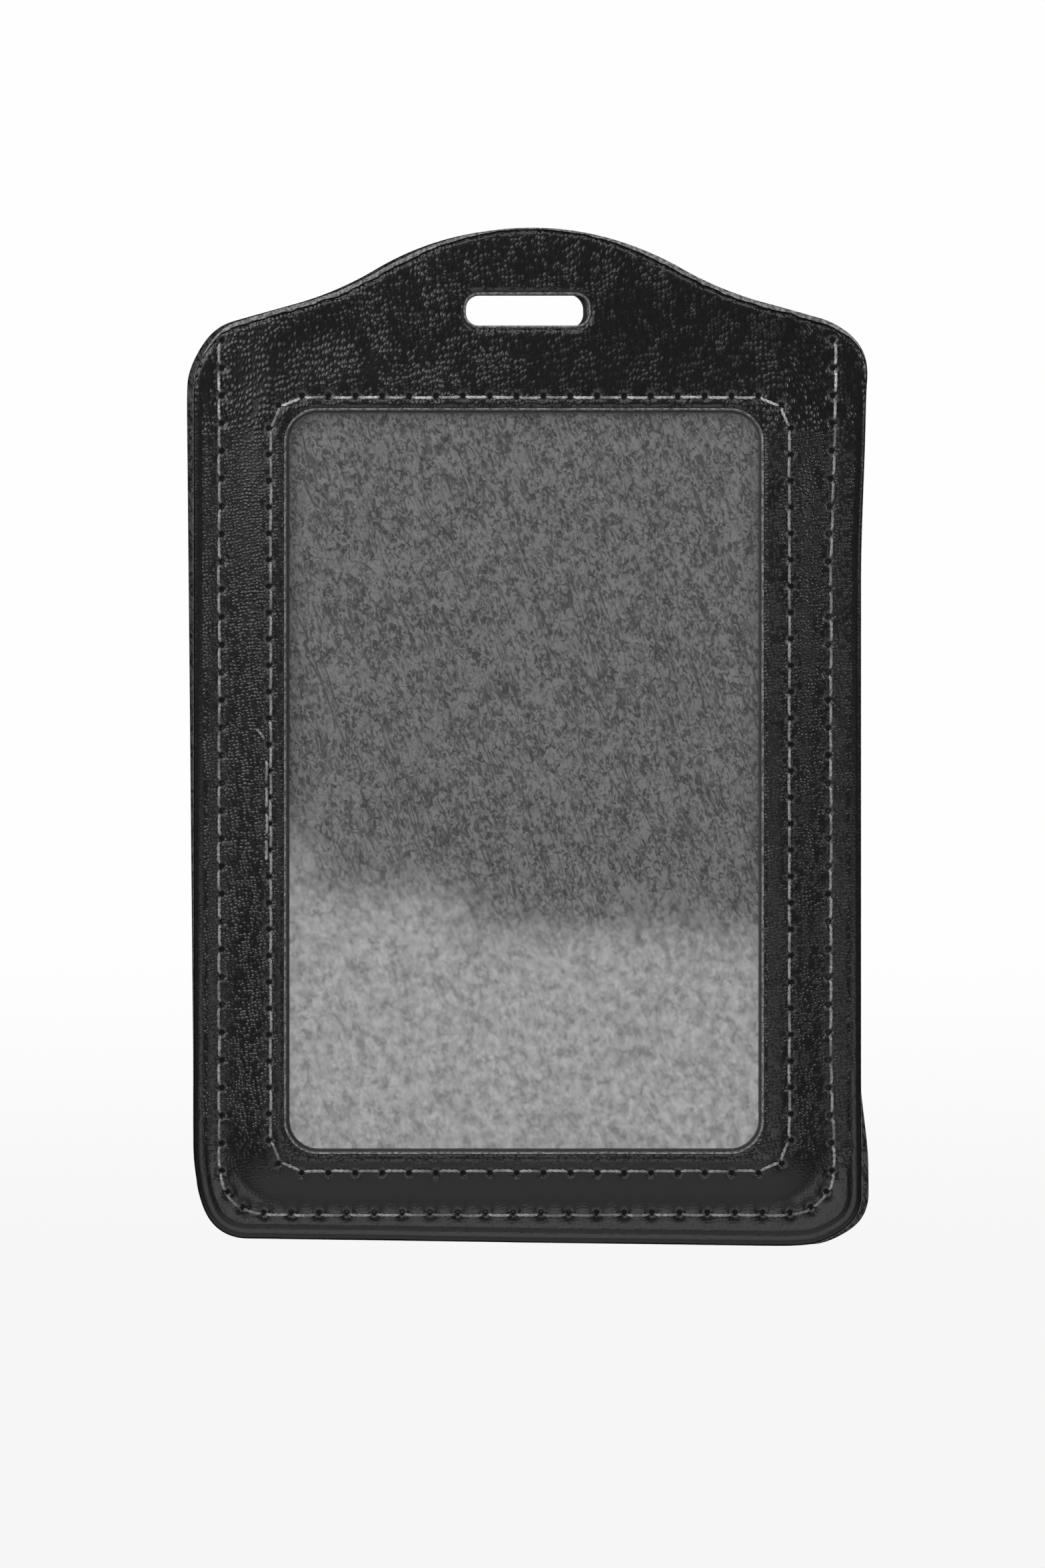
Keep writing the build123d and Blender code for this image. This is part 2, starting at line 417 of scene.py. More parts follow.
def place(tree, kind, inputs=(), **settings):
    """A node in a tree, with its settings, its values and its links."""
    node = tree.nodes.new(kind)
    for key, value in settings.items():
        setattr(node, key, value)
    for key, value in dict(inputs).items():
        if isinstance(value, bpy.types.NodeSocket):
            tree.links.new(value, node.inputs[key])
        else:
            node.inputs[key].default_value = value
    return node


def calc(tree, operation, a, b=0.0, c=0.0):
    """The result of one sum in a tree."""
    return place(tree, "ShaderNodeMath", {0: a, 1: b, 2: c}, operation=operation).outputs[0]


def times(tree, *values):
    """The product of several values in a tree."""
    product = values[0]
    for value in values[1:]:
        product = calc(tree, "MULTIPLY", product, value)
    return product


def eased(tree, value, low, high, start=0.0, end=1.0, kind="SMOOTHSTEP"):
    """A value that goes from start to end as another goes from low to high."""
    sockets = {0: value, 1: low, 2: high, 3: start, 4: end}
    return place(tree, "ShaderNodeMapRange", sockets, interpolation_type=kind).outputs[0]


def shape_tree(name, sizes):
    """A geometry tree with a named input for each size."""
    tree = bpy.data.node_groups.new(name, "GeometryNodeTree")
    tree.interface.new_socket("Geometry", in_out="INPUT", socket_type="NodeSocketGeometry")
    for label, kind in sizes.items():
        tree.interface.new_socket(label, in_out="INPUT", socket_type=kind)
    tree.interface.new_socket("Geometry", in_out="OUTPUT", socket_type="NodeSocketGeometry")
    return tree, tree.nodes.new("NodeGroupInput"), tree.nodes.new("NodeGroupOutput")


def named(tree, name):
    """A number that a tree reads from its piece by name."""
    return place(tree, "GeometryNodeInputNamedAttribute", {0: name}, data_type="FLOAT").outputs[0]


def ended(tree, geometry, look, out):
    """Ends a tree: its geometry goes out smooth, whole and of one material."""
    smooth = place(tree, "GeometryNodeSetShadeSmooth", {"Geometry": geometry})
    whole = place(tree, "GeometryNodeRealizeInstances", {"Geometry": smooth.outputs[0]})
    faced = place(tree, "GeometryNodeSetMaterial", {"Geometry": whole.outputs[0], "Material": look})
    tree.links.new(faced.outputs[0], out.inputs[0])


def shaped(piece, tree, values):
    """Gives a piece a tree's result as its plain mesh."""
    modifier = piece.modifiers.new(tree.name, "NODES")
    modifier.node_group = tree
    for item in tree.interface.items_tree:
        if item.item_type == "SOCKET" and item.in_out == "INPUT" and item.name in values:
            modifier[item.identifier] = values[item.name]
    bpy.context.view_layer.update()
    graph = bpy.context.evaluated_depsgraph_get()
    mesh = bpy.data.meshes.new_from_object(piece.evaluated_get(graph), depsgraph=graph)
    piece.modifiers.clear()
    old = piece.data
    piece.data = mesh
    bpy.data.meshes.remove(old)
    mesh.name = piece.name


number = "NodeSocketFloat"
press_tree, press_in, press_out = shape_tree("Press_sheet", {
    "Facing": number,
    "Pocket room": number,
    "Ramp width": number,
    "Band depth": number,
    "Band width": number,
    "Edge roll": number,
    "Hole depth": number,
    "Hole radius": number,
    "Seam pull": number,
    "Mouth settle": number,
    "Material": "NodeSocketMaterial",
})
size = press_in.outputs
share = calc(press_tree, "DIVIDE", named(press_tree, "from_foot"), size["Ramp width"])
crown = times(press_tree, eased(press_tree, share, -0.04, 1.04), size["Pocket room"])
where = place(press_tree, "GeometryNodeInputPosition").outputs[0]
up = place(press_tree, "ShaderNodeSeparateXYZ", {0: where}).outputs[2]
settle = times(press_tree, eased(press_tree, up, -22.0 * mm, -2.0 * mm), size["Mouth settle"])
crown = times(press_tree, crown, calc(press_tree, "SUBTRACT", 1.0, settle))
edge_gap = named(press_tree, "from_edge")
past_band = calc(press_tree, "SUBTRACT", edge_gap, size["Band width"])
band = times(press_tree, eased(press_tree, past_band, 0.0, 0.4 * mm, -1.0, 0.0), size["Band depth"])
band = times(press_tree, band, eased(press_tree, up, -16.0 * mm, -5.0 * mm, 1.0, 0.0))
rolled = calc(press_tree, "MINIMUM", edge_gap, named(press_tree, "from_opening"))
roll = times(press_tree, eased(press_tree, rolled, 0.0, 0.42 * mm, -1.0, 0.0), size["Edge roll"])
hole_gap = named(press_tree, "from_hole")
hole_reach = times(press_tree, size["Hole radius"], 1.1)
hole_foot = times(press_tree, size["Hole radius"], 0.55)
pit = times(press_tree, eased(press_tree, hole_gap, hole_foot, hole_reach, -1.0, 0.0), size["Hole depth"])
burr_crest = 0.58 * mm
burr_rise = eased(press_tree, hole_gap, size["Hole radius"], burr_crest)
burr_fall = eased(press_tree, hole_gap, burr_crest, 0.85 * mm, 1.0, 0.0)
burr = times(press_tree, burr_rise, burr_fall, size["Hole depth"])
pit = calc(press_tree, "MULTIPLY_ADD", burr, 0.18, pit)
gather = eased(press_tree, hole_gap, hole_foot, 1.3 * mm, -0.9, 0.0)
groove = eased(press_tree, named(press_tree, "from_seam"), 0.0, 1.1 * mm, -0.4, 0.0)
pull = times(press_tree, calc(press_tree, "ADD", gather, groove), size["Seam pull"])
detail = calc(press_tree, "ADD", calc(press_tree, "ADD", band, roll), calc(press_tree, "ADD", pit, pull))
detail = times(press_tree, detail, named(press_tree, "outer_face"))
lift = times(press_tree, calc(press_tree, "ADD", crown, detail), size["Facing"])
shift = place(press_tree, "ShaderNodeCombineXYZ", {1: lift}).outputs[0]
moved = place(press_tree, "GeometryNodeSetPosition", {"Geometry": size["Geometry"], "Offset": shift})
ended(press_tree, moved.outputs[0], size["Material"], press_out)


def finish_tree(name, inputs, outputs):
    """A shader group of one effect, with its named inputs and outputs."""
    group = bpy.data.node_groups.new(name, "ShaderNodeTree")
    for label, (kind, value) in inputs.items():
        socket = group.interface.new_socket(label, in_out="INPUT", socket_type=kind)
        if value is not None:
            socket.default_value = value
    for label, kind in outputs.items():
        group.interface.new_socket(label, in_out="OUTPUT", socket_type=kind)
    return group, group.nodes.new("NodeGroupInput").outputs, group.nodes.new("NodeGroupOutput").inputs


def effect(tree, group, values):
    """A shader group placed in a material, with its own values."""
    return place(tree, "ShaderNodeGroup", values, node_tree=group).outputs


def material(name):
    """An empty material, its tree, its Principled shader and its place in the object's own space."""
    made = bpy.data.materials.new(name)
    made.use_nodes = True
    tree = made.node_tree
    tree.nodes.clear()
    shader = tree.nodes.new("ShaderNodeBsdfPrincipled")
    out = tree.nodes.new("ShaderNodeOutputMaterial")
    tree.links.new(shader.outputs[0], out.inputs[0])
    spot = place(tree, "ShaderNodeTexCoord").outputs["Object"]
    return made, tree, shader, spot


def recorded(tree, name):
    """A number that a material reads from its piece by name."""
    return place(tree, "ShaderNodeAttribute", attribute_name=name).outputs["Fac"]


def noise(tree, spot, scale, detail, roughness=0.5, bend=0.0):
    """An even noise of so many waves a metre."""
    inputs = {"Vector": spot, "Scale": scale, "Detail": detail, "Roughness": roughness, "Distortion": bend}
    return place(tree, "ShaderNodeTexNoise", inputs).outputs[0]


def drawn_out(tree, spot, turn, across, draw):
    """A place turned about Y and counted in units so many millimetres across, drawn out upwards."""
    angle = place(tree, "ShaderNodeCombineXYZ", {1: turn}).outputs[0]
    laid = place(tree, "ShaderNodeVectorRotate", {0: spot, 4: angle}, rotation_type="EULER_XYZ").outputs[0]
    fine = calc(tree, "DIVIDE", 1000.0, across)
    upwards = calc(tree, "DIVIDE", fine, draw)
    stretch = place(tree, "ShaderNodeCombineXYZ", {0: fine, 1: fine, 2: upwards}).outputs[0]
    return place(tree, "ShaderNodeVectorMath", {0: laid, 1: stretch}, operation="MULTIPLY").outputs[0]


def raised(tree, shader, height, distance, strength=1.0):
    """Gives a shader the relief of a height."""
    inputs = {"Strength": strength, "Distance": distance, "Height": height}
    tree.links.new(place(tree, "ShaderNodeBump", inputs).outputs[0], shader.inputs["Normal"])


def mixed(tree, share, a, b):
    """A colour that goes from a to b."""
    return place(tree, "ShaderNodeMix", {0: share, 6: a, 7: b}, data_type="RGBA").outputs[2]


def shade(value, warm=0.0):
    """A near-grey colour."""
    return (value * (1 + warm), value, value * (1 - warm), 1)


# Pebbled grain: small raised pebbles in slanting rows; their tips are painted lighter, a painted highlight.
# Front and back are of the one leatherette, whose pebbles are drawn taller above the window.
vector = "NodeSocketVector"
grain, grain_in, grain_out = finish_tree(
    "Pebbled_grain",
    {
        "Place": (vector, None),
        "Pebble size": (number, 0.55),
        "Stretch": (number, 1.5),
        "Lean": (number, 0.15),
        "Unevenness": (number, 0.2),
    },
    {"Height": number, "Tips": number, "Patches": number},
)
drift_inputs = {"Vector": grain_in["Place"], "Scale": 260.0, "Detail": 1.0}
drift = place(grain, "ShaderNodeTexNoise", drift_inputs).outputs["Color"]
drift = place(grain, "ShaderNodeVectorMath", {0: drift, 1: (0.5, 0.5, 0.5)}, operation="SUBTRACT").outputs[0]
drift = place(grain, "ShaderNodeVectorMath", {0: drift, "Scale": 1.2 * mm}, operation="SCALE").outputs[0]
drifted = place(grain, "ShaderNodeVectorMath", {0: grain_in["Place"], 1: drift}, operation="ADD").outputs[0]
fitted = drawn_out(grain, drifted, grain_in["Lean"], grain_in["Pebble size"], grain_in["Stretch"])
cell_inputs = {"Vector": fitted, "Scale": 1.0, "Randomness": 0.55}
cells = place(grain, "ShaderNodeTexVoronoi", cell_inputs, voronoi_dimensions="3D").outputs
ragged = calc(grain, "SUBTRACT", noise(grain, fitted, 2.0, 3.0, 0.6), 0.5)
ragged = times(grain, ragged, grain_in["Unevenness"])
dome = calc(grain, "ADD", eased(grain, cells["Distance"], 0.6, 0.0), ragged)
grain.links.new(dome, grain_out["Height"])
grain.links.new(eased(grain, dome, 0.62, 1.0), grain_out["Tips"])
broad = noise(grain, grain_in["Place"], 230.0, 3.0, 0.6)
grain.links.new(eased(grain, broad, 0.35, 0.65), grain_out["Patches"])

grain_break = -13.0 * mm
drawn_above = 1.75
drawn_below = 0.85
leather, tree, skin_shader, spot = material("Black_leatherette")
axes = place(tree, "ShaderNodeSeparateXYZ", {0: spot}).outputs
high = times(tree, calc(tree, "MAXIMUM", axes[2], grain_break), 1 / drawn_above)
low = times(tree, calc(tree, "MINIMUM", calc(tree, "SUBTRACT", axes[2], grain_break), 0.0), 1 / drawn_below)
drawn = place(tree, "ShaderNodeCombineXYZ", {0: axes[0], 1: axes[1], 2: calc(tree, "ADD", high, low)})
pebbles = effect(tree, grain, {
    "Place": drawn.outputs[0],
    "Pebble size": 0.43,
    "Stretch": 1.0,
    "Lean": 0.12,
    "Unevenness": 0.4,
})
bottom_smooth = eased(tree, axes[2], -98.0 * mm, -88.0 * mm, 0.12, 1.0)
by_hole = recorded(tree, "from_hole")
# painted shade: the needle holes are painted near black for the shade inside them
painted_hole_shade = eased(tree, by_hole, 0.29 * mm, needle_hole, 1.0, 0.0)
fray = noise(tree, spot, 2600.0, 3.0, 0.7)
past_hole = eased(tree, by_hole, 0.36 * mm, 0.45 * mm)
round_hole = times(tree, past_hole, eased(tree, by_hole, 0.5 * mm, 0.8 * mm, 1.0, 0.0))
frayed = times(tree, round_hole, eased(tree, fray, 0.4, 0.6))
by_edge = recorded(tree, "from_edge")
by_cut = calc(tree, "MINIMUM", by_edge, recorded(tree, "from_opening"))
cut_wall = eased(tree, by_cut, 0.45 * mm, 0.6 * mm, 1.0, 0.0)
cut_wall = times(tree, cut_wall, eased(tree, recorded(tree, "outer_face"), 0.35, 0.95, 1.0, 0.0))
by_mouth = eased(tree, axes[2], -14.0 * mm, -6.0 * mm)
flat_band = calc(tree, "MAXIMUM", eased(tree, by_edge, 0.9 * mm, 1.1 * mm, 0.15, 1.0), by_mouth)
thin_grain = eased(tree, axes[0], -9.0 * mm, 8.0 * mm)
thin_grain = times(tree, thin_grain, eased(tree, axes[2], -14.0 * mm, -7.0 * mm))
thin_grain = times(tree, thin_grain, eased(tree, axes[2], 1.5 * mm, 6.0 * mm, 1.0, 0.3))
# painted highlight: the pebble tips are painted lighter, in patches and less so towards the smooth bottom
tip_highlight = times(tree, pebbles["Tips"], eased(tree, pebbles["Patches"], 0.0, 1.0, 0.35, 1.0), bottom_smooth)
cut_fibres = mixed(tree, eased(tree, fray, 0.4, 0.62), shade(0.05), shade(0.2))
tint = mixed(tree, tip_highlight, shade(0.0035, 0.02), shade(0.009, 0.02))
tint = mixed(tree, frayed, tint, shade(0.03))
tint = mixed(tree, cut_wall, tint, cut_fibres)
# painted shade in the needle holes
tint = mixed(tree, painted_hole_shade, tint, shade(0.0005))
tree.links.new(tint, skin_shader.inputs["Base Color"])
rough = times(tree, calc(tree, "MAXIMUM", frayed, cut_wall), 0.55)
rough = calc(tree, "MAXIMUM", rough, eased(tree, fray, 0.3, 0.7, 0.2, 0.27, "LINEAR"))
tree.links.new(calc(tree, "MAXIMUM", rough, painted_hole_shade), skin_shader.inputs["Roughness"])
skin_shader.inputs["Specular IOR Level"].default_value = 0.33
depth = times(tree, bottom_smooth, eased(tree, pebbles["Patches"], 0.0, 1.0, 0.75, 1.0))
depth = times(tree, depth, times(tree, flat_band, eased(tree, thin_grain, 0.0, 1.0, 1.0, 0.7)))
raised(tree, skin_shader, times(tree, pebbles["Height"], depth), 0.075 * mm)

cut_edge = cover_line()
cover_edge = settled(cut_edge)
slot_edge = round_box(slot_middle, slot_length, slot_height, slot_corner, 0.2 * mm)
window_edge = round_box(
    window_middle,
    window_width + 2 * window_slant,
    window_height + window_slant,
    window_corner + window_slant,
)
outer_holes = sewn_line(-seam_side, seam_side, seam_top, seam_bottom, seam_corner, outer_pitch, False)
outer_holes = settled(outer_holes, 0.5 * mm, 0.4 * mm, 0.45 * mm)
window_holes = sewn_line(
    left=-28.5 * mm,
    right=29.15 * mm,
    top=-9.15 * mm,
    bottom=-94.95 * mm,
    corner=3.6 * mm,
    pitch=window_pitch,
    closed=True,
)
front_holes = np.concatenate([outer_holes, window_holes])
skived = np.clip((cover_edge[:, 1] + 6.0 * mm) / (5.0 * mm), 0.12, 1)
skived = skived * (0.3 + 0.7 * np.clip(np.abs(cover_edge[:, 0]) / (14 * mm), 0, 1))
ragged_cut = np.random.default_rng(7).normal(0, 0.06 * mm, len(cover_edge))
ragged_cut = (ragged_cut + np.roll(ragged_cut, 1) + np.roll(ragged_cut, 2)) * 0.6
skin_edge = beside(cover_edge, 1.0)
skin_edge = cover_edge + (skin_edge - cover_edge) * (skived * 0.55 * mm + ragged_cut * skived)[:, None]


def hole_rings(holes):
    """Points on three circles round each needle hole."""
    circle = np.array([(math.cos(a), math.sin(a)) for a in np.linspace(0, 2 * math.pi, 9)[:-1]])
    return [(holes[:, None, :] + circle[None] * needle_hole * k).reshape(-1, 2) for k in (0.5, 0.85, 1.2)]


front_guides = [front_holes] + hole_rings(front_holes)
front_guides += [beside(skin_edge, d * mm) for d in (0.14, 0.3, 0.6, 0.9, 1.12, 1.28, 1.45, 1.7)]
front_guides += [beside(window_edge, -d * mm) for d in (0.14, 0.3, 0.55, 0.8)]
front_guides += [beside(slot_edge, -d * mm) for d in (0.14, 0.3)]
front_skin, flat = cut_sheet(
    "front_skin",
    skin_edge,
    [window_edge, slot_edge],
    front_guides,
    spacing=0.45 * mm,
    near=backing_face,
    far=skin_face,
    facing=-1,
    seed=1,
    slant=0.26 * mm,
    inner_edge=cover_edge,
)
front_seams = [(outer_holes, False), (window_holes, True)]
measured(front_skin, flat, skin_edge, [window_edge, slot_edge], front_seams, front_holes)
front_press = {
    "Facing": -1.0,
    "Pocket room": pocket_room,
    "Ramp width": ramp_width,
    "Hole radius": needle_hole,
    "Mouth settle": 0.75,
}
shaped(front_skin, press_tree, {
    **front_press,
    "Band depth": 0.09 * mm,
    "Band width": 1.15 * mm,
    "Edge roll": 0.14 * mm,
    "Hole depth": 0.17 * mm,
    "Seam pull": 0.11 * mm,
    "Material": leather,
})
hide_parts("front_cover")
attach(front_skin, "pocket")

# Front backing: the grey non-woven cloth bonded behind the front skin. Its cut edge shows round the
# window, in the slot and along the outside of the wallet.
fibres, fibres_in, fibres_out = finish_tree(
    "Matted_fibres",
    {"Place": (vector, None), "Fibre size": (number, 0.4), "Draw": (number, 3.0), "Slant": (number, 0.7)},
    {"Height": number, "Light fibres": number, "Clouds": number, "Creases": number},
)


def drawn_noise(turn, across, draw, detail, bend):
    """Noise of the fibres, drawn out along one slant, across so many millimetres."""
    return noise(fibres, drawn_out(fibres, fibres_in["Place"], turn, across, draw), 1.0, detail, bend=bend)


def ridged(tree, value, width):
    """Thin lines where a noise crosses its middle."""
    off_middle = calc(tree, "ABSOLUTE", calc(tree, "SUBTRACT", value, 0.5))
    return eased(tree, off_middle, 0.0, width, 1.0, 0.0)


strands = 0.0
for way, more in ((1.0, 0.0), (-0.7, 0.3), (0.1, 1.6), (-1.6, 0.2)):
    slant = calc(fibres, "MULTIPLY_ADD", fibres_in["Slant"], way, more)
    layer = drawn_noise(slant, fibres_in["Fibre size"], fibres_in["Draw"], 1.0, 1.2)
    strands = calc(fibres, "MAXIMUM", ridged(fibres, layer, 0.06), strands)
felt = drawn_noise(0.3, fibres_in["Fibre size"], 1.5, 4.0, 1.0)
fibres.links.new(calc(fibres, "ADD", times(fibres, strands, 0.5), felt), fibres_out["Height"])
fibres.links.new(times(fibres, strands, eased(fibres, felt, 0.4, 0.58)), fibres_out["Light fibres"])
cloud = calc(fibres, "SUBTRACT", noise(fibres, fibres_in["Place"], 520.0, 3.0, 0.65), 0.5)
clouds = eased(fibres, calc(fibres, "ADD", cloud, felt), 0.39, 0.62, 0.0, 1.0, "LINEAR")
fibres.links.new(clouds, fibres_out["Clouds"])
# crease lines, which the cloth colour darkens as painted shade
crease = ridged(fibres, drawn_noise(0.33, 1.25, 6.5, 2.0, 0.3), 0.034)
sparse = noise(fibres, fibres_in["Place"], 450.0, 2.0)
fibres.links.new(times(fibres, crease, eased(fibres, sparse, 0.36, 0.5, 0.0, 0.95)), fibres_out["Creases"])

cloth_dark = 0.001
cloth_light = 0.1
backing_cloth, tree, cloth_shader, spot = material("Grey_backing_cloth")
# painted shadow: the cloth's walls at the window and slot are painted near black, for the shadow line between
# film and skin
painted_gap_shade = eased(tree, recorded(tree, "from_opening"), 0.35 * mm, 0.5 * mm, 1.0, 0.0)
painted_gap_shade = times(tree, painted_gap_shade, eased(tree, recorded(tree, "outer_face"), 0.5, 1.0, 1.0, 0.0))
look = effect(tree, fibres, {"Place": spot, "Fibre size": 0.42})
ground = mixed(tree, look["Clouds"], shade(cloth_dark), shade(0.3 * cloth_dark + 0.7 * cloth_light))
ground = mixed(tree, look["Light fibres"], ground, shade(cloth_light))
# painted shade: the creases are painted darker
ground = mixed(tree, look["Creases"], ground, shade(0.4 * cloth_dark))
tree.links.new(mixed(tree, painted_gap_shade, ground, shade(0.003)), cloth_shader.inputs["Base Color"])
cloth_rough = eased(tree, look["Light fibres"], 0.0, 1.0, 0.95, 0.8, "LINEAR")
tree.links.new(cloth_rough, cloth_shader.inputs["Roughness"])
raised(tree, cloth_shader, look["Height"], 0.1 * mm, 0.6)
cloth_shader.inputs["Sheen Weight"].default_value = 0.05
cloth_shader.inputs["Sheen Roughness"].default_value = 0.5

cloth_window = round_box(
    window_middle,
    window_width + 0.12 * mm,
    window_height - 0.2 * mm,
    window_corner + 0.06 * mm,
)
cloth_rings = [beside(cover_edge, d * mm)[::3] for d in (0.8, 1.6, 2.4, 3.3, 4.2, 5.1, 6.0, 7.0)]
front_cloth, flat = cut_sheet(
    "front_cloth",
    cover_edge,
    [cloth_window, slot_edge],
    cloth_rings,
    spacing=1.1 * mm,
    near=0.0,
    far=backing_face,
    facing=-1,
    seed=4,
    slant=0.28 * mm,
)
measured(front_cloth, flat, cover_edge, [cloth_window, slot_edge], [(outer_holes, False)], front_holes)
shaped(front_cloth, press_tree, {**front_press, "Seam pull": 0.13 * mm, "Material": backing_cloth})
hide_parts("front_cover_backing")
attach(front_cloth, "pocket")

# Window pane: clear film laid behind the window and caught under its seam. It is a little rippled, so
# what it reflects has a soft and wavering edge, and it lets light and shadow through to the cloth.
film, tree, film_shader, spot = material("Clear_film")
film_shader.inputs["Base Color"].default_value = (1, 1, 1, 1)
film_shader.inputs["Transmission Weight"].default_value = 1.0
film_shader.inputs["IOR"].default_value = 1.58
ripple = noise(tree, spot, 30.0, 1.0, 0.4)
scuff = noise(tree, spot, 60.0, 1.0, 0.6)
tree.links.new(eased(tree, scuff, 0.3, 0.7, 0.055, 0.07, "LINEAR"), film_shader.inputs["Roughness"])
raised(tree, film_shader, ripple, 0.1 * mm)
mottled = eased(tree, noise(tree, spot, 850.0, 2.0, 0.6), 0.37, 0.63, 0.0, 1.0, "LINEAR")
tree.links.new(mixed(tree, mottled, shade(0.55), shade(1.0)), film_shader.inputs["Specular Tint"])
ray = place(tree, "ShaderNodeLightPath").outputs
through = calc(tree, "MAXIMUM", ray["Is Shadow Ray"], ray["Is Diffuse Ray"])
clear = place(tree, "ShaderNodeBsdfTransparent")
blended = place(tree, "ShaderNodeMixShader", {0: through, 1: film_shader.outputs[0], 2: clear.outputs[0]})
out = [node for node in tree.nodes if node.type == "OUTPUT_MATERIAL"][0]
tree.links.new(blended.outputs[0], out.inputs[0])
pane = frame["nodes"]["window_pane"]
pane.data.materials.clear()
pane.data.materials.append(film)

# Back cover: one leatherette sheet, cut on the same line as the front and sewn on slightly askew. Its
# grey cloth side is what shows through the window. Above the seam it bends back at the mouth.
back_lean = 0.0095
lean_foot = -88 * mm


def laid_askew(line):
    """A line of the front, leant over to where the back was laid."""
    return line - np.array([back_lean, 0.0]) * (line[:, 1:] - lean_foot)


back_edge = laid_askew(settled(cut_edge, 0.6 * mm, 0.8 * mm))
back_slot = laid_askew(slot_edge)
pulled = [beside(back_edge, d * mm) for d in (0.14, 0.3)]
pulled += [beside(back_slot, -d * mm) for d in (0.14, 0.3)]
back_press = {
    "Facing": 1.0,
    "Pocket room": -0.5 * mm,
    "Ramp width": ramp_width,
    "Hole radius": needle_hole,
    "Mouth settle": 1.0,
}


def back_sheet(name, near, far, guides, spacing, seed, values, nodes):
    """One layer of the back cover, whole from the hump to the bottom."""
    sheet, flat = cut_sheet(name, back_edge, [back_slot], guides, spacing, near, far, 1, seed)
    measured(sheet, flat, back_edge, [back_slot], [(outer_holes, False)], outer_holes)
    shaped(sheet, press_tree, {**back_press, **values})
    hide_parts(*nodes)
    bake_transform(sheet)
    return sheet


back_cloth = back_sheet(
    "back_cloth",
    near=0.0,
    far=backing_face,
    guides=pulled + [beside(back_edge, d * mm)[::3] for d in (4.0, 5.2, 6.4, 7.6, 8.8, 10.0)],
    spacing=1.1 * mm,
    seed=2,
    values={"Material": backing_cloth},
    nodes=["back_cover_backing", "back_lip_backing"],
)
back_guides = [outer_holes, beside(outer_holes, 0.25 * mm, False), beside(outer_holes, -0.25 * mm, False)]
back_skin = back_sheet(
    "back_skin",
    near=backing_face,
    far=skin_face,
    guides=pulled + back_guides + hole_rings(outer_holes),
    spacing=0.7 * mm,
    seed=3,
    values={"Edge roll": 0.1 * mm, "Hole depth": 0.17 * mm, "Seam pull": 0.11 * mm, "Material": leather},
    nodes=["back_cover", "back_lip"],
)

# Seams: bonded black thread in a lockstitch. The upper thread shows on the front and the under thread on
# the back, and each stitch lies along the sheet and goes down into a needle hole at both ends.
stitch_tree, stitch_in, stitch_out = shape_tree("Lockstitch", {
    "Sheet": "NodeSocketObject",
    "Facing": number,
    "Thread radius": number,
    "Rise": number,
    "Dip": number,
    "Twists": number,
    "Material": "NodeSocketMaterial",
})
size = stitch_in.outputs
lines = place(stitch_tree, "GeometryNodeMeshToCurve", {0: size["Geometry"]})
sheet = place(stitch_tree, "GeometryNodeObjectInfo", {0: size["Sheet"]}, transform_space="RELATIVE")
towards = place(stitch_tree, "ShaderNodeCombineXYZ", {1: times(stitch_tree, size["Facing"], -1.0)})
ray = place(stitch_tree, "GeometryNodeRaycast", {
    "Target Geometry": sheet.outputs["Geometry"],
    "Source Position": place(stitch_tree, "GeometryNodeInputPosition").outputs[0],
    "Ray Direction": towards.outputs[0],
    "Ray Length": 1.0,
})
along = place(stitch_tree, "GeometryNodeSplineParameter").outputs["Factor"]
from_middle = calc(stitch_tree, "ABSOLUTE", calc(stitch_tree, "SUBTRACT", along, 0.5))
arch = eased(stitch_tree, calc(stitch_tree, "SUBTRACT", 0.5, from_middle), 0.0, 0.16)
dip = times(stitch_tree, calc(stitch_tree, "SUBTRACT", arch, 1.0), size["Dip"])
lie = calc(stitch_tree, "ADD", times(stitch_tree, arch, size["Rise"]), dip)
lie = times(stitch_tree, lie, size["Facing"])
put = place(stitch_tree, "GeometryNodeSetPosition", {
    "Geometry": lines.outputs[0],
    "Position": ray.outputs["Hit Position"],
    "Offset": place(stitch_tree, "ShaderNodeCombineXYZ", {1: lie}).outputs[0],
})
twist = times(stitch_tree, along, size["Twists"], 2 * math.pi)
tilted = place(stitch_tree, "GeometryNodeSetCurveTilt", {"Curve": put.outputs[0], "Tilt": twist})
circle_inputs = {"Resolution": 10, "Radius": size["Thread radius"]}
circle = place(stitch_tree, "GeometryNodeCurvePrimitiveCircle", circle_inputs)
oval = place(stitch_tree, "GeometryNodeTransform", {"Geometry": circle.outputs[0], "Scale": (1.0, 0.78, 1.0)})
tube_inputs = {"Curve": tilted.outputs[0], "Profile Curve": oval.outputs[0], "Fill Caps": True}
tube = place(stitch_tree, "GeometryNodeCurveToMesh", tube_inputs)
ended(stitch_tree, tube.outputs[0], size["Material"], stitch_out)

thread_look, tree, thread_shader, spot = material("Black_bonded_thread")
fuzz = noise(tree, spot, 6000.0, 3.0, 0.7)
# painted highlight: the black thread is painted lighter in patches of glints
glint_spread = noise(tree, spot, 420.0, 2.0)
painted_glint = times(tree, eased(tree, fuzz, 0.35, 0.6), eased(tree, glint_spread, 0.3, 0.6, 0.2, 1.0))
# painted highlight: the glints are painted lighter on the threads near the top, as if lit from above
height_up = place(tree, "ShaderNodeSeparateXYZ", {0: spot}).outputs[2]
glint_lit_from_above = mixed(tree, eased(tree, height_up, -13.0 * mm, -9.0 * mm), shade(0.26), shade(0.5))
tree.links.new(mixed(tree, painted_glint, shade(0.05), glint_lit_from_above), thread_shader.inputs["Base Color"])
tree.links.new(eased(tree, painted_glint, 0.0, 1.0, 0.6, 0.4, "LINEAR"), thread_shader.inputs["Roughness"])
raised(tree, thread_shader, fuzz, 0.03 * mm, 0.5)

thread_radius = 0.19 * mm
stitch_steps = 24
end_gap = 0.07
ray_start = 10 * mm


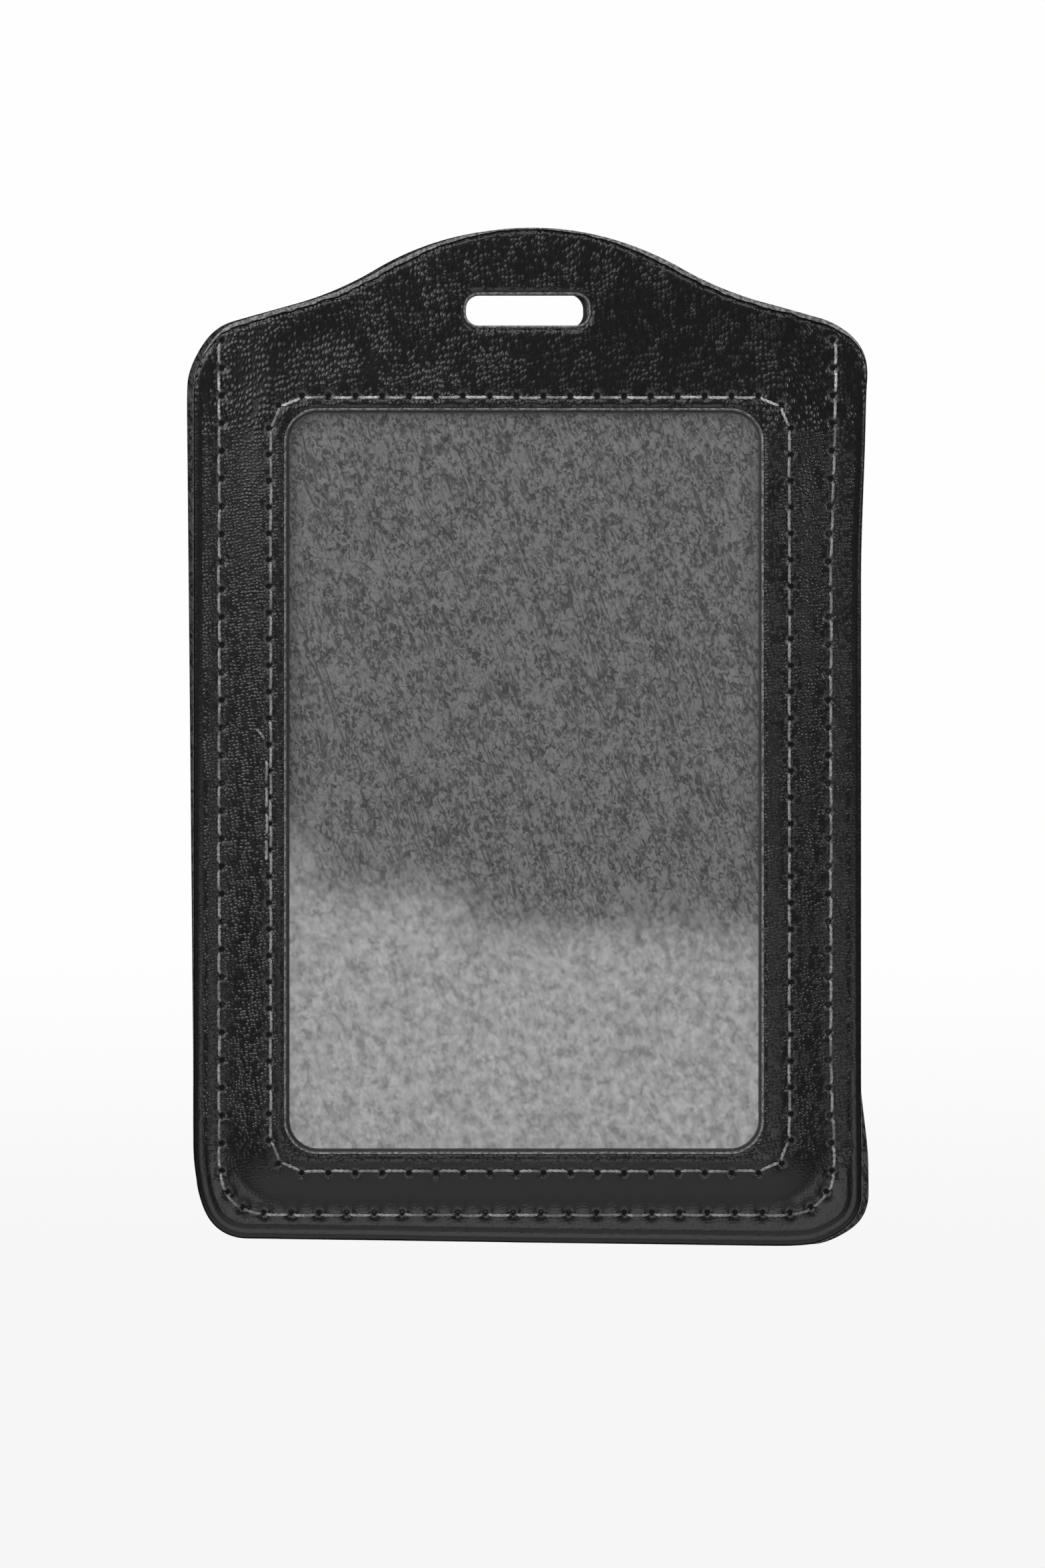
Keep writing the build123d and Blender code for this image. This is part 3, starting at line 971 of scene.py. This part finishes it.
def stitched(seed, name, rows, sheet, facing, bias, replaced):
    """The stitches of one thread, laid on a sheet, each slewed a little to the side."""
    chance = random.Random(seed)
    verts = []
    edges = []
    for holes, closed in rows:
        ends = np.roll(holes, -1, 0) if closed else holes[1:]
        for (x0, z0), (x1, z1) in zip(holes, ends):
            slew = [bias + chance.uniform(-0.06, 0.06) * mm for _ in range(2)]
            reach = math.hypot(x1 - x0, z1 - z0)
            side = ((z1 - z0) / reach, (x0 - x1) / reach)
            first = len(verts)
            for i in range(stitch_steps + 1):
                share = end_gap + (1 - 2 * end_gap) * i / stitch_steps
                off = slew[0] * (1 - share) + slew[1] * share
                off *= 0.45 + 0.55 * min(1, 4 * min(share, 1 - share))
                x = x0 + (x1 - x0) * share + side[0] * off
                z = z0 + (z1 - z0) * share + side[1] * off
                verts.append((x, facing * ray_start, z))
            edges += [(first + i, first + i + 1) for i in range(stitch_steps)]
    mesh = bpy.data.meshes.new(name)
    mesh.from_pydata(verts, edges, [])
    row = bpy.data.objects.new(name, mesh)
    bpy.context.scene.collection.objects.link(row)
    shaped(row, stitch_tree, {
        "Sheet": sheet,
        "Facing": facing,
        "Thread radius": thread_radius,
        "Rise": 0.5 * thread_radius,
        "Dip": 0.4 * mm,
        "Twists": 2.6,
        "Material": thread_look,
    })
    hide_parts(replaced)
    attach(row, "pocket")


overlap_first = 12
overlap_ends = window_holes[overlap_first : overlap_first + 6]
overlap_holes = (overlap_ends[:-1] + overlap_ends[1:]) / 2 - np.array([0.45 * mm, 0])
loose_end = np.array([(-30.14 * mm, -45.94 * mm), (-29.0 * mm, -47.4 * mm)])
outer_row = [(outer_holes, False)]
window_rows = [(window_holes, True), (overlap_holes, False), (loose_end, False)]
threads = (
    ("outer_needle_thread", outer_row, front_skin, -1.0, 0.3 * mm, "outer_seam_needle_thread"),
    ("window_needle_thread", window_rows, front_skin, -1.0, -0.24 * mm, "window_seam_needle_thread"),
    ("outer_bobbin_thread", outer_row, back_skin, 1.0, 0.0, "outer_seam_bobbin_thread"),
    ("window_bobbin_thread", window_rows, pane, 1.0, 0.0, "window_seam_bobbin_thread"),
)
for seed, thread in enumerate(threads, 11):
    stitched(seed, *thread)

# Stage: a pale floor well below the hanging wallet, a camera square to its front, and soft studio lamps.
# Bright cards beside, above and below the camera are what the film and the leatherette reflect.
camera_back = 0.4824
floor_reach = 0.7
floor_height = -0.3
world = bpy.data.worlds.new("Studio")
bpy.context.scene.world = world
world.use_nodes = True
tree = world.node_tree
tree.nodes.clear()
ray = place(tree, "ShaderNodeLightPath").outputs
heading = place(tree, "ShaderNodeTexCoord").outputs["Generated"]
heading = place(tree, "ShaderNodeSeparateXYZ", {0: heading}).outputs
mirrored = times(tree, ray["Is Glossy Ray"], eased(tree, heading[1], -0.1, 0.4))
seen = calc(tree, "MAXIMUM", ray["Is Camera Ray"], ray["Is Transmission Ray"])
seen = calc(tree, "MAXIMUM", seen, mirrored)
white = eased(tree, heading[2], -0.11, -0.03, 0.0, 1.0)
far = place(tree, "ShaderNodeBackground", {0: mixed(tree, white, shade(0.922), shade(0.991)), 1: 1.0})
room = eased(tree, ray["Is Glossy Ray"], 0.0, 1.0, 0.5, 0.13, "LINEAR")
soft = place(tree, "ShaderNodeBackground", {0: shade(0.8), 1: room})
chosen = place(tree, "ShaderNodeMixShader", {0: seen, 1: soft.outputs[0], 2: far.outputs[0]})
out = tree.nodes.new("ShaderNodeOutputWorld")
tree.links.new(chosen.outputs[0], out.inputs[0])


def lamp(name, spot, aim, width, height, power):
    """A soft rectangular studio lamp."""
    light = bpy.data.lights.new(name, "AREA")
    light.shape = "RECTANGLE"
    light.size = width
    light.size_y = height
    light.energy = power
    made = bpy.data.objects.new(name, light)
    bpy.context.scene.collection.objects.link(made)
    made.location = spot
    made.rotation_euler = (Vector(aim) - Vector(spot)).to_track_quat("-Z", "Y").to_euler()


def card(name, x, z, width, height, radiance):
    """A bright card in the camera's plane, square to the wallet."""
    lamp(name, (x, -camera_back, z), (x, 0, z), width, height, radiance * math.pi * width * height)


middle = (0, 0, -50 * mm)
lamp("Key_lamp", (-0.45, -0.35, 0.25), middle, 0.35, 0.35, 2.6)
lamp("Fill_lamp", (0.5, -0.4, 0.14), middle, 0.2, 0.2, 1.3)
lamp("Back_lamp", (0.1, 0.7, 0.3), middle, 0.4, 0.4, 4.0)
card("Side_card", -0.25, 0.22, 0.13, 0.24, 6.0)
card("High_card", 0.03, 0.27, 0.34, 0.1, 6.0)
low_card_foot = -0.21
low_cards = ((-0.11, -0.048, -0.064), (-0.048, -0.013, -0.0765), (-0.013, 0.12, -0.0845))
for i, (left, right, top) in enumerate(low_cards, 1):
    tall = top - low_card_foot
    card(f"Low_card_{i}", (left + right) / 2, top - tall / 2, right - left, tall, 2.55)

around = np.linspace(0, 2 * math.pi, 97)[:-1]
floor_edge = [(floor_reach * math.cos(a), floor_reach * math.sin(a), floor_height) for a in around]
floor_mesh = bpy.data.meshes.new("floor")
floor_mesh.from_pydata(floor_edge, [], [tuple(range(len(floor_edge)))])
floor = bpy.data.objects.new("floor", floor_mesh)
bpy.context.scene.collection.objects.link(floor)
floor_look, tree, floor_shader, spot = material("Pale_floor")
worn_floor = noise(tree, spot, 3.0, 4.0)
tree.links.new(mixed(tree, worn_floor, shade(0.78), shade(0.82)), floor_shader.inputs["Base Color"])
floor_shader.inputs["Roughness"].default_value = 0.8
floor.data.materials.append(floor_look)

camera = bpy.data.cameras.new("Camera")
camera.sensor_fit = "VERTICAL"
camera.sensor_height = 36
camera.lens = 100
camera.clip_start = 0.01
eye = bpy.data.objects.new("Camera", camera)
bpy.context.scene.collection.objects.link(eye)
eye.location = (-0.51 * mm, -camera_back, -52.04 * mm)
eye.rotation_euler = (math.radians(90), 0, 0)
bpy.context.scene.camera = eye
bpy.context.scene.view_settings.view_transform = "Standard"
